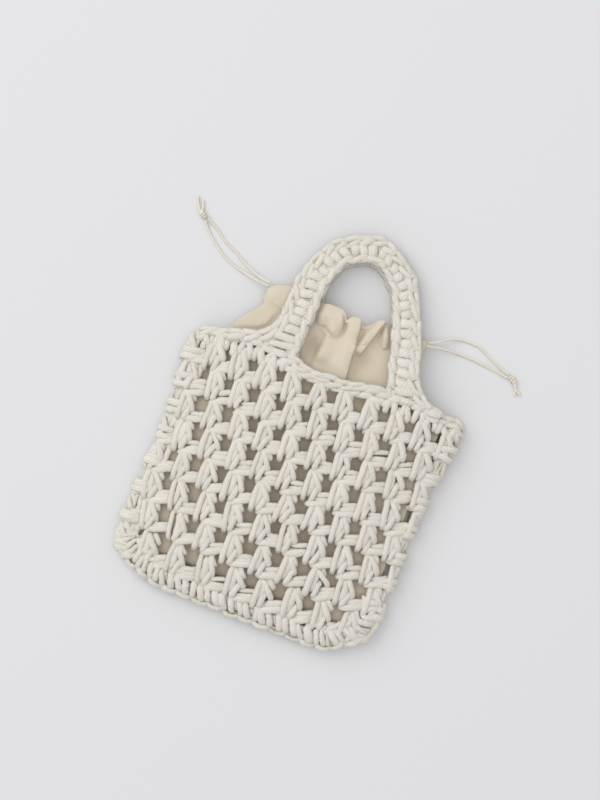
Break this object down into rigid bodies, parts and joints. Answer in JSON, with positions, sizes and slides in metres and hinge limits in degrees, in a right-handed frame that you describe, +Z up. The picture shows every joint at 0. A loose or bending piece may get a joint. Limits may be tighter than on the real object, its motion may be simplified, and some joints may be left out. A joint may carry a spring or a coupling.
{
  "type": "knitted handbag",
  "caption": "small open-net handbag of thick cotton cord with short arched handles, lying flat, with a cotton drawstring pouch inside",
  "frame": {"origin": "on the surface that the bag lies on, under the middle of the box round the bag without its free drawstrings", "axes": "X runs across the bag from its left side fold to its right, Y runs up the bag from the base to the handles, Z is up from the surface"},
  "size_m": [0.3478, 0.379, 0.0341],
  "materials": {
    "cotton_cord": "matt twisted cotton",
    "cotton_cloth": "matt plain weave",
    "cotton_string": "matt twisted string"
  },
  "bodies": {
    "root": {"net_body": "cotton_cord", "base_band": "cotton_cord", "rim_band": "cotton_cord", "handle_front": "cotton_cord", "handle_back": "cotton_cord", "pouch": "cotton_cloth", "drawstring_left_upper": "cotton_string", "drawstring_left_lower": "cotton_string", "drawstring_right_upper": "cotton_string", "drawstring_right_lower": "cotton_string", "knot_left": "cotton_string", "knot_right": "cotton_string"}
  },
  "joints": []
}
